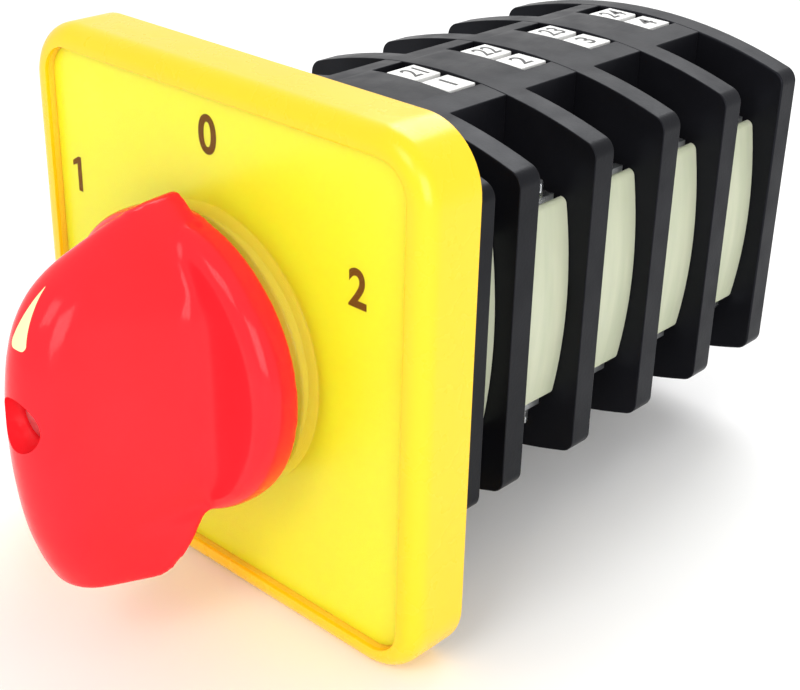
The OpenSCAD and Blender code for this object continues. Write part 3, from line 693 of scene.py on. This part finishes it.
# Side covers: bulged caps over the contacts between the fins, moulded in pale green-grey
# nylon that lets a little light into its skin. The outer corners are rounded off.
# A corner's edges lie this near to the cover's side and to its end, and are at least so long
CORNER_BAND, CORNER_END, CORNER_RUN = 1.5, 0.1, 2.0
CORNER_ROUND, CORNER_STEPS, COVER_EDGE_R = 0.7, 5, 0.4
PALE_GREEN, MILKY_GREEN = (0.49, 0.53, 0.38), (0.59, 0.61, 0.45)


def pale_moulding(name, colour, shade):
    """Unfilled nylon: a milky, slightly mottled skin with faint vertical flow lines."""
    finish, tree, shader = new_finish(name)
    flow = noise_on_object(tree, scale=150.0, detail=6.0, stretch=(1, 3, 0.35))
    tree.links.new(tint(tree, flow.outputs["Fac"], colour, shade), shader.inputs["Base Color"])
    shader.inputs["Subsurface Weight"].default_value = 0.25
    shader.inputs["Subsurface Radius"].default_value = (0.8, 1.0, 0.6)
    shader.inputs["Subsurface Scale"].default_value = 1.2 * MM
    gloss = noise_on_object(tree, scale=300.0, detail=4.0)
    tree.links.new(spread(tree, gloss.outputs["Fac"], 0.38, 0.55), shader.inputs["Roughness"])
    grain = noise_on_object(tree, scale=1200.0, detail=5.0)
    roughen(tree, shader, grain.outputs["Fac"], strength=0.2, distance=0.05)
    return finish


pale_nylon = pale_moulding("pale_nylon", PALE_GREEN, MILKY_GREEN)
for side in SIDES:
    node_name = "side_covers_" + side
    mesh, shape = welded_copy(node_name, node_name + "_piece")
    outer_x = max(abs(v.co.x) for v in shape.verts)
    end_z = max(v.co.z for v in shape.verts)
    corners = [e for e in shape.edges
               if all(abs(v.co.x) > outer_x - CORNER_BAND * MM
                      and abs(v.co.z) > end_z - CORNER_END * MM for v in e.verts)
               and abs(e.verts[0].co.y - e.verts[1].co.y) > CORNER_RUN * MM]
    bmesh.ops.bevel(shape, geom=corners, offset=CORNER_ROUND * MM, offset_type="OFFSET",
                    segments=CORNER_STEPS, profile=0.5, affect="EDGES", clamp_overlap=True,
                    material=-1)
    covers = finished_piece(mesh, shape, pale_nylon)
    soften_edges(covers, COVER_EDGE_R)
    put_on(covers, "housing", "pale_nylon", node_name)

# Label tiles: white snap-in tiles in the top lands, two to a stage, printed with plain
# terminal numbers that read from the side.
TILE_X, TILE_EDGE_R = 2.85, 0.15
TILE_NUMBER_H, TILE_NUMBER_BOLDNESS, TWO_DIGIT_WIDTH = 3.1, 0.03, 0.8
SECOND_ROW = 20
WHITE, DULL_WHITE = (0.92, 0.92, 0.9), (0.86, 0.86, 0.84)
INK_BLACK, INK_GREY = (0.01, 0.01, 0.01), (0.02, 0.02, 0.02)

white_label = moulded_plastic("white_label", WHITE, DULL_WHITE, rough=(0.35, 0.5), skin=0.1)
black_ink = moulded_plastic("black_ink", INK_BLACK, INK_GREY, rough=(0.4, 0.55), skin=0.2,
                            skin_scale=3000.0)
dressed_copy("label_tiles", "housing", "white_label", white_label, TILE_EDGE_R)
for stage in STAGES:
    tile_y = highest(f"stage_housing_{stage}", "Y") - TILE_L / 2
    ink_z = highest("label_tiles", "Z") + INK_T / 2
    for text, x, width in ((str(stage), TILE_X, 1.0),
                           (str(SECOND_ROW + stage), -TILE_X, TWO_DIGIT_WIDTH)):
        number = flat_number(text, TILE_NUMBER_H, INK_T, TILE_NUMBER_BOLDNESS,
                             "tile_number_" + text)
        printed(number, width, "Z", (x, tile_y, ink_z), black_ink, "white_label")

# Setting: the switch stands on its plate's lower edge on a plain white floor under soft
# boxes. The floor and the world look white to the camera and to glossy surfaces.
AMBIENT = 0.76
# In metres: half the floor's side, and how far from the middle its shadows begin and end to fade
FLOOR_HALF, FADE_START, FADE_END = 3.0, 0.16, 0.42
FLOOR_WHITE = (0.96, 0.96, 0.96)

scene = bpy.context.scene
scene.view_settings.view_transform = "Standard"


def seen_directly(tree):
    """1 for the camera, for reflections and for light through clear pieces, else 0."""
    path = tree.nodes.new("ShaderNodeLightPath")
    shown = worked_out(tree, "ADD", path.outputs["Is Camera Ray"], path.outputs["Is Glossy Ray"])
    return worked_out(tree, "ADD", shown, path.outputs["Is Transmission Ray"])


world = bpy.data.worlds.new("studio")
scene.world = world
world.use_nodes = True
sky = world.node_tree
sky.nodes.clear()
sky_output = sky.nodes.new("ShaderNodeOutputWorld")
sky_light = sky.nodes.new("ShaderNodeBackground")
sky_light.inputs["Color"].default_value = (1, 1, 1, 1)
strength = spread(sky, seen_directly(sky), AMBIENT, 1.0, start=0.0, end=1.0)
sky.links.new(strength, sky_light.inputs["Strength"])
sky.links.new(sky_light.outputs[0], sky_output.inputs["Surface"])

floor_finish, floor_tree, floor_shader = new_finish("white_floor")
floor_shader.inputs["Base Color"].default_value = (*FLOOR_WHITE, 1)
floor_shader.inputs["Roughness"].default_value = 0.9
floor_shader.inputs["Specular IOR Level"].default_value = 0.1
floor_glow = floor_tree.nodes.new("ShaderNodeEmission")
floor_mix = floor_tree.nodes.new("ShaderNodeMixShader")
floor_place = floor_tree.nodes.new("ShaderNodeTexCoord")
from_middle = floor_tree.nodes.new("ShaderNodeVectorMath")
from_middle.operation = "LENGTH"
floor_tree.links.new(floor_place.outputs["Object"], from_middle.inputs[0])
fade = spread(floor_tree, from_middle.outputs["Value"], 0.0, 1.0, start=FADE_START, end=FADE_END)
shown_fade = worked_out(floor_tree, "MULTIPLY", fade, seen_directly(floor_tree))
floor_tree.links.new(shown_fade, floor_mix.inputs["Fac"])
floor_tree.links.new(floor_shader.outputs[0], floor_mix.inputs[1])
floor_tree.links.new(floor_glow.outputs[0], floor_mix.inputs[2])
floor_tree.links.new(floor_mix.outputs[0], floor_tree.nodes["Material Output"].inputs["Surface"])
ground = bmesh.new()
bmesh.ops.create_grid(ground, x_segments=1, y_segments=1, size=FLOOR_HALF)
bmesh.ops.translate(ground, verts=ground.verts, vec=(0, 0, lowest("front_frame", "Z") * MM))
floor = finished_piece(bpy.data.meshes.new("floor"), ground, floor_finish)


def softbox(name, place, target, size, power):
    """A square area lamp aimed at a point; places in metres."""
    lamp = bpy.data.lights.new(name, "AREA")
    lamp.shape = "SQUARE"
    lamp.size = size
    lamp.energy = power
    holder = in_scene(name, lamp)
    holder.location = place
    holder.rotation_euler = (Vector(target) - Vector(place)).to_track_quat("-Z", "Y").to_euler()


softbox("key", place=(0.15, -0.85, 0.78), target=(0, 0.02, 0), size=0.5, power=3.2)
softbox("fill", place=(0.85, -0.5, 0.3), target=(0, 0.02, 0), size=0.6, power=5.0)
softbox("top", place=(-0.25, 0.55, 0.65), target=(0, 0.03, 0), size=0.5, power=4.0)

# Camera: it looks down on the switch from its front right. Its place is in millimetres. Its
# angles, in degrees, are round from the front, up from level, and tilt about its own view.
CAMERA_PLACE = (121.44, -108.79, 79.7)
CAMERA_AROUND, CAMERA_UP, CAMERA_TILT = 42.566, 26.867, 1.443
CAMERA_LENS, CAMERA_SENSOR = 69.112, 36.0

camera_data = bpy.data.cameras.new("camera")
camera_data.sensor_width = CAMERA_SENSOR
camera_data.lens = CAMERA_LENS
camera_data.clip_start = 0.01
camera = in_scene("camera", camera_data)
camera.matrix_world = (Matrix.Translation(Vector(CAMERA_PLACE) * MM)
                       @ Matrix.Rotation(math.radians(CAMERA_AROUND), 4, "Z")
                       @ Matrix.Rotation(math.radians(90 - CAMERA_UP), 4, "X")
                       @ Matrix.Rotation(math.radians(CAMERA_TILT), 4, "Z"))
scene.camera = camera
